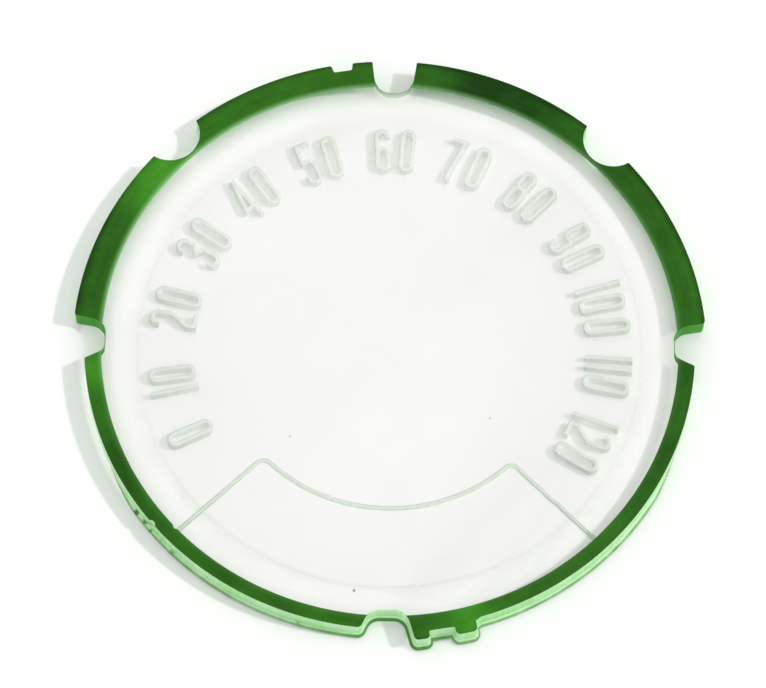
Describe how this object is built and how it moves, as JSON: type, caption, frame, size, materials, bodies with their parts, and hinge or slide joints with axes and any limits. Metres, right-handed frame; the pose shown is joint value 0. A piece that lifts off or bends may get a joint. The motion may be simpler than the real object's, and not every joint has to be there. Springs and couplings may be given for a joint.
{
  "type": "instrument dial lens",
  "caption": "Clear round speedometer dial lens with moulded numerals, a fan-shaped window line, notched rim and green light-filter coat.",
  "frame": {"origin": "centre of the seating boss on the back face", "axes": "+Z out of the front face, +Y toward the 12 o'clock notch, +X toward the 3 o'clock notch"},
  "size_m": [0.1512, 0.1515, 0.006],
  "materials": {
    "clear_acrylic": "polished clear acrylic, satin moulded walls",
    "green_coat": "thin translucent dark green coat, semi-gloss"
  },
  "bodies": {
    "root": {"dial_lens": "clear_acrylic", "green_coat_upper_right": "green_coat", "green_coat_upper_left": "green_coat", "green_coat_lower_left": "green_coat", "green_coat_lower_right": "green_coat"}
  },
  "joints": []
}
